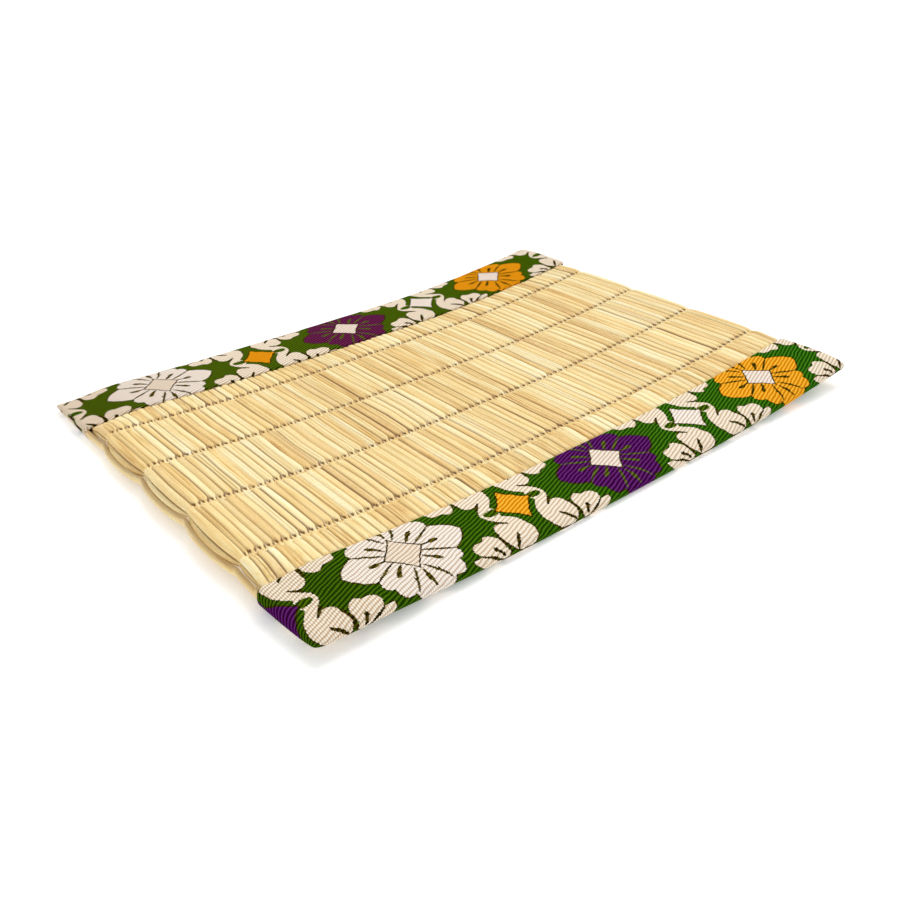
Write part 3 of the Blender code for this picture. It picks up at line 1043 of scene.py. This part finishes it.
# In the photograph the two tapes differ a little in tone, and the ground also changes to the left
GROUND = {"front": ("#3a7614", "#426408"), "back": ("#4c690a", "#546a10")}
ORANGE = {"front": "#f6b430", "back": "#eea41a"}
PURPLE = {"front": "#5f206c", "back": "#6c2652"}
PALE, LEAF_PALE = "#f9f2e8", "#f7ecd8"
OUTLINE_OLIVE, EYE_GREEN = "#463c06", "#4a6608"
HEART_COLOURS = ("#f3e8da", "#f6ebe0", "#f4e8d6")
PETAL_LINE_COLOURS = ("#5f6a1c", "#574a0c", "#5a5010")
THIRDS = (0.0, 0.33, 0.66)


def to_nearest(tree, vector, ovals):
    """How far the plane's point lies from the nearest oval's middle, with 1 on its rim."""
    nearest = None
    for x, y, length, width, turn, point in ovals:
        oval = {"Location": (x, y, 0), "Rotation": (0, 0, math.radians(turn)), "Scale": (length, width, 1)}
        moved = add(tree, "ShaderNodeMapping", {"Vector": vector, **oval}, vector_type="TEXTURE").outputs[0]
        distance = add(tree, "ShaderNodeVectorMath", {0: moved}, operation="LENGTH").outputs["Value"]
        if point:
            positive = add(tree, "ShaderNodeVectorMath", {0: moved}, operation="ABSOLUTE")
            straight = {0: positive.outputs[0], 1: (1, 1, 0)}
            straight = add(tree, "ShaderNodeVectorMath", straight, operation="DOT_PRODUCT")
            blend = {"Factor": point, "A": distance, "B": straight.outputs["Value"]}
            distance = add(tree, "ShaderNodeMix", blend, data_type="FLOAT").outputs["Result"]
        if nearest is not None:
            distance = add(tree, "ShaderNodeMath", {0: nearest, 1: distance}, operation="MINIMUM").outputs[0]
        nearest = distance
    return nearest


def to_lozenge(tree, vector, half, more=0):
    """The same for a lozenge with slightly hollow sides."""
    size = (1 / (half[0] + more), 1 / (half[1] + more), 0)
    scaled = add(tree, "ShaderNodeVectorMath", {0: vector, 1: size}, operation="MULTIPLY")
    parts = add(tree, "ShaderNodeSeparateXYZ", {0: scaled.outputs[0]})
    x, y = parts.outputs[0], parts.outputs[1]
    straight = add(tree, "ShaderNodeMath", {0: x, 1: y}, operation="ADD")
    corner = add(tree, "ShaderNodeMath", {0: x, 1: y}, operation="MULTIPLY")
    total = {0: corner.outputs[0], 1: HOLLOW, 2: straight.outputs[0]}
    return add(tree, "ShaderNodeMath", total, operation="MULTIPLY_ADD").outputs[0]


print("colours of the flowers in turn:", PURPLE["front"], ORANGE["front"], PALE)

# %% Lay the pattern on the ground


def pattern_colour(tree, place, ground, by_flower, by_lozenge, numbers):
    """Lays leaves, petals, hearts and lozenges over the ground, each with its rim first."""
    flower_colours = (PURPLE[place], ORANGE[place], PALE)
    in_turn = []
    for number, colours in (
        (numbers[0], flower_colours),
        (numbers[0], PETAL_LINE_COLOURS),
        (numbers[0], HEART_COLOURS),
        (numbers[1], (PALE, PURPLE[place], ORANGE[place])),
    ):
        picked = add(tree, "ShaderNodeValToRGB", {"Fac": number})
        picked.color_ramp.interpolation = "CONSTANT"
        set_stops(picked.color_ramp, list(zip(THIRDS, colours)))
        in_turn.append(picked.outputs["Color"])
    petal, petal_line, heart, jewel = in_turn
    olive = linear(OUTLINE_OLIVE)
    leaves, petals = to_nearest(tree, by_lozenge, LEAVES), to_nearest(tree, by_flower, PETALS)
    layers = (
        (leaves, EDGING, olive),
        (leaves, 1.0, linear(LEAF_PALE)),
        (to_nearest(tree, by_lozenge, LEAF_LINES), 1.0, olive),
        (to_nearest(tree, by_lozenge, LEAF_EYE), 1.0, linear(EYE_GREEN)),
        (petals, EDGING, olive),
        (petals, 1.0, petal),
        (to_nearest(tree, by_flower, PETAL_LINES), 1.0, petal_line),
        (to_lozenge(tree, by_flower, HEART, OUTLINE), 1.0, olive),
        (to_lozenge(tree, by_flower, HEART), 1.0, heart),
        (to_lozenge(tree, by_lozenge, LOZENGE, OUTLINE), 1.0, olive),
        (to_lozenge(tree, by_lozenge, LOZENGE), 1.0, jewel),
    )
    colour = ground
    for distance, limit, above in layers:
        inside = add(tree, "ShaderNodeMath", {0: distance, 1: limit}, operation="LESS_THAN")
        layer = {"Factor": inside.outputs[0], "A": colour, "B": above}
        colour = add(tree, "ShaderNodeMix", layer, data_type="RGBA").outputs["Result"]
    print(place, "pattern:", len(layers), "layers")
    return colour


# %% [markdown]
# ## Brocade: the weave
# The ground is a twill: its ridges run at 20 degrees to the tape and lie 0.7 mm apart, and between
# them the same yarn lies in shade. A gamma node deepens a colour as shade does, much on green or
# purple and little on white. White gets its own light brown shade between the ridges, and towards
# the left end, which is nearest to the camera, fine lines across the tape show too.

# %% Brocade material
TWILL_PITCH, TWILL_TURN = 0.70, math.radians(20)
# Real yarns are too fine to show, so the lines across the tape are drawn 0.42 mm apart
HAIRLINE_PITCH, HAIRLINE_FROM = 0.42, 0.5
# Along the tape: where the ground's colour changes, and where the lines across it come to show
GROUND_FROM, GROUND_TO = 60.0, -65.0
LINES_FROM, LINES_TO, LEAST_LINES = -25.0, -60.0, 0.1
HAIRLINES = {"front": 0.7, "back": 1.0}
# How much a ridge and the yarn's fuzz deepen a colour, from the least depth on
RIDGE_DEPTH, FUZZ_DEPTH, LEAST_DEPTH = 0.62, 0.2, 0.78
FUZZ_PATCH = 1 / 3
TWILL_SHADE, SHADE_POWER = {"front": 0.75, "back": 0.9}, 2.2
SHADE_BROWN, HAIRLINE_BROWN = "#c0a48e", "#a8937a"
# How far the ridges and the lines dent the cloth, as shares of 0.06 mm
RIDGE_DENT, LINE_DENT, CLOTH_RELIEF = -0.7, -0.3, 0.06


def make_brocade(name, place):
    """A brocade tape that reads its own length and width in mm."""
    material, tree, surface = new_material(name)
    tape = add(tree, "ShaderNodeUVMap", uv_map="UVMap")
    on_tape, *pattern = pattern_places(tree, tape, place)
    along = add(tree, "ShaderNodeSeparateXYZ", {0: tape.outputs[0]}).outputs[0]
    to_left = {"Value": along, "From Min": GROUND_FROM, "From Max": GROUND_TO}
    to_left = add(tree, "ShaderNodeMapRange", to_left).outputs[0]
    right_green, left_green = (linear(green) for green in GROUND[place])
    ground = {"Factor": to_left, "A": right_green, "B": left_green}
    ground = add(tree, "ShaderNodeMix", ground, data_type="RGBA").outputs["Result"]
    colour = pattern_colour(tree, place, ground, *pattern)

    # Ridges of the twill, and the finer lines across them, both from a cosine
    slope = (-math.sin(TWILL_TURN) / TWILL_PITCH, math.cos(TWILL_TURN) / TWILL_PITCH, 0)
    up_slope = add(tree, "ShaderNodeVectorMath", {0: on_tape, 1: slope}, operation="DOT_PRODUCT")
    lines = []
    for source, turns, low in (
        (up_slope.outputs["Value"], 2 * math.pi, -1.0),
        (along, 2 * math.pi / HAIRLINE_PITCH, HAIRLINE_FROM),
    ):
        angle = add(tree, "ShaderNodeMath", {0: source, 1: turns}, operation="MULTIPLY")
        wave = add(tree, "ShaderNodeMath", {0: angle.outputs[0]}, operation="COSINE")
        share = {"Value": wave.outputs[0], "From Min": low, "From Max": 1.0}
        lines.append(add(tree, "ShaderNodeMapRange", share).outputs[0])
    ridge, thread = lines
    fuzz = {"Vector": on_tape, "Scale": 1 / FUZZ_PATCH, "Detail": 2.0}
    fuzz = add(tree, "ShaderNodeTexNoise", fuzz)
    depth = LEAST_DEPTH
    for source, share in ((ridge, RIDGE_DEPTH), (fuzz.outputs["Fac"], FUZZ_DEPTH)):
        deeper = {0: source, 1: share, 2: depth}
        depth = add(tree, "ShaderNodeMath", deeper, operation="MULTIPLY_ADD").outputs[0]
    colour = add(tree, "ShaderNodeGamma", {"Color": colour, "Gamma": depth}).outputs[0]

    # Brown shade between the ridges also falls on white, and on the left so do the hairlines
    between = add(tree, "ShaderNodeMath", {0: ridge, 1: SHADE_POWER}, operation="POWER")
    between = {0: between.outputs[0], 1: TWILL_SHADE[place]}
    between = add(tree, "ShaderNodeMath", between, operation="MULTIPLY")
    shows = {"Value": along, "From Min": LINES_FROM, "From Max": LINES_TO, "To Min": LEAST_LINES}
    shows = add(tree, "ShaderNodeMapRange", {**shows, "To Max": HAIRLINES[place]})
    hairline = add(tree, "ShaderNodeMath", {0: thread, 1: shows.outputs[0]}, operation="MULTIPLY")
    for share, brown in ((between, SHADE_BROWN), (hairline, HAIRLINE_BROWN)):
        shade = {"Factor": share.outputs[0], "A": colour, "B": linear(brown)}
        shaded = add(tree, "ShaderNodeMix", shade, data_type="RGBA", blend_type="MULTIPLY")
        colour = shaded.outputs["Result"]

    height = add(tree, "ShaderNodeMath", {0: ridge, 1: RIDGE_DENT}, operation="MULTIPLY").outputs[0]
    height = {0: thread, 1: LINE_DENT, 2: height}
    height = add(tree, "ShaderNodeMath", height, operation="MULTIPLY_ADD").outputs[0]
    relief = {"Height": height, "Strength": 0.5, "Distance": CLOTH_RELIEF * MM}
    relief = add(tree, "ShaderNodeBump", relief)
    tree.links.new(colour, surface.inputs["Base Color"])
    tree.links.new(relief.outputs["Normal"], surface.inputs["Normal"])
    surface.inputs["Roughness"].default_value = 0.6
    surface.inputs["Specular IOR Level"].default_value = 0.0
    print(name, "has", len(tree.nodes), "nodes")
    return material


# Rayon brocade: clear colours, and in place of a gloss only the fine slanting ridges of the twill
binding_front.data.materials.append(make_brocade("rayon_brocade_front", "front"))
binding_back.data.materials.append(make_brocade("rayon_brocade_back", "back"))

# %% [markdown]
# ## Placing the pieces
# Every piece rides on the mat's one body and stands for its CAD solid, which is hidden. The facing
# was cut 131 mm long and 97 mm wide, and the two tapes 134 mm long and 52 mm wide with their
# hems.

# %% Ride and replace
for piece, node, slot in (
    (rush, "rush_sheet", "rush"),
    (binding_front, "binding_front", "brocade"),
    (binding_back, "binding_back", "brocade"),
):
    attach(piece, "root")
    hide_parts(node)
print("declared:", [piece.name for piece in (rush, binding_front, binding_back)])

# %% [markdown]
# ## Floor and light
# The mat lies on a plain pale floor, a twentieth of a millimetre below it, so that the two don't
# share a plane. One soft sun, 40 degrees wide, stands behind the mat and to its right, which draws
# the backs of the rushes. The surroundings are white and the floor glows faintly, so the shadow
# stays thin and the floor as pale as in the photograph.

# %% Floor, lights and surroundings
FLOOR_DROP = 0.05
SUN_TILT, SUN_ROUND, SUN_WIDTH = (math.radians(a) for a in (40, 35, 40))
SUN_STRENGTH, SKY_STRENGTH, FLOOR_GLOW = 1.35, 0.76, 0.25

bpy.ops.object.select_all(action="DESELECT")
bpy.ops.mesh.primitive_plane_add(size=8.0, location=(0, 0, -FLOOR_DROP * MM))
floor = bpy.context.object
floor.name = "floor"
# Pale matt paint: an even tone with no reflection of the mat in it
floor_paint, tree, surface = new_material("pale_floor")
surface.inputs["Base Color"].default_value = linear("#fcfcfb")
surface.inputs["Roughness"].default_value = 0.9
surface.inputs["Specular IOR Level"].default_value = 0.1
surface.inputs["Emission Color"].default_value = linear("#ffffff")
surface.inputs["Emission Strength"].default_value = FLOOR_GLOW
floor.data.materials.append(floor_paint)

bpy.ops.object.light_add(type="SUN", rotation=(0, SUN_TILT, SUN_ROUND))
light = bpy.context.object
light.name = "soft_light_right"
light.data.energy = SUN_STRENGTH
light.data.angle = SUN_WIDTH

surroundings = bpy.data.worlds.new("pale_studio")
surroundings.use_nodes = True
bpy.context.scene.world = surroundings
sky = surroundings.node_tree.nodes["Background"]
sky.inputs["Color"].default_value = linear("#ffffff")
sky.inputs["Strength"].default_value = SKY_STRENGTH
bpy.context.scene.view_settings.view_transform = "Standard"
print("floor", FLOOR_DROP, "mm below the mat; sun", SUN_STRENGTH, "and surroundings", SKY_STRENGTH)
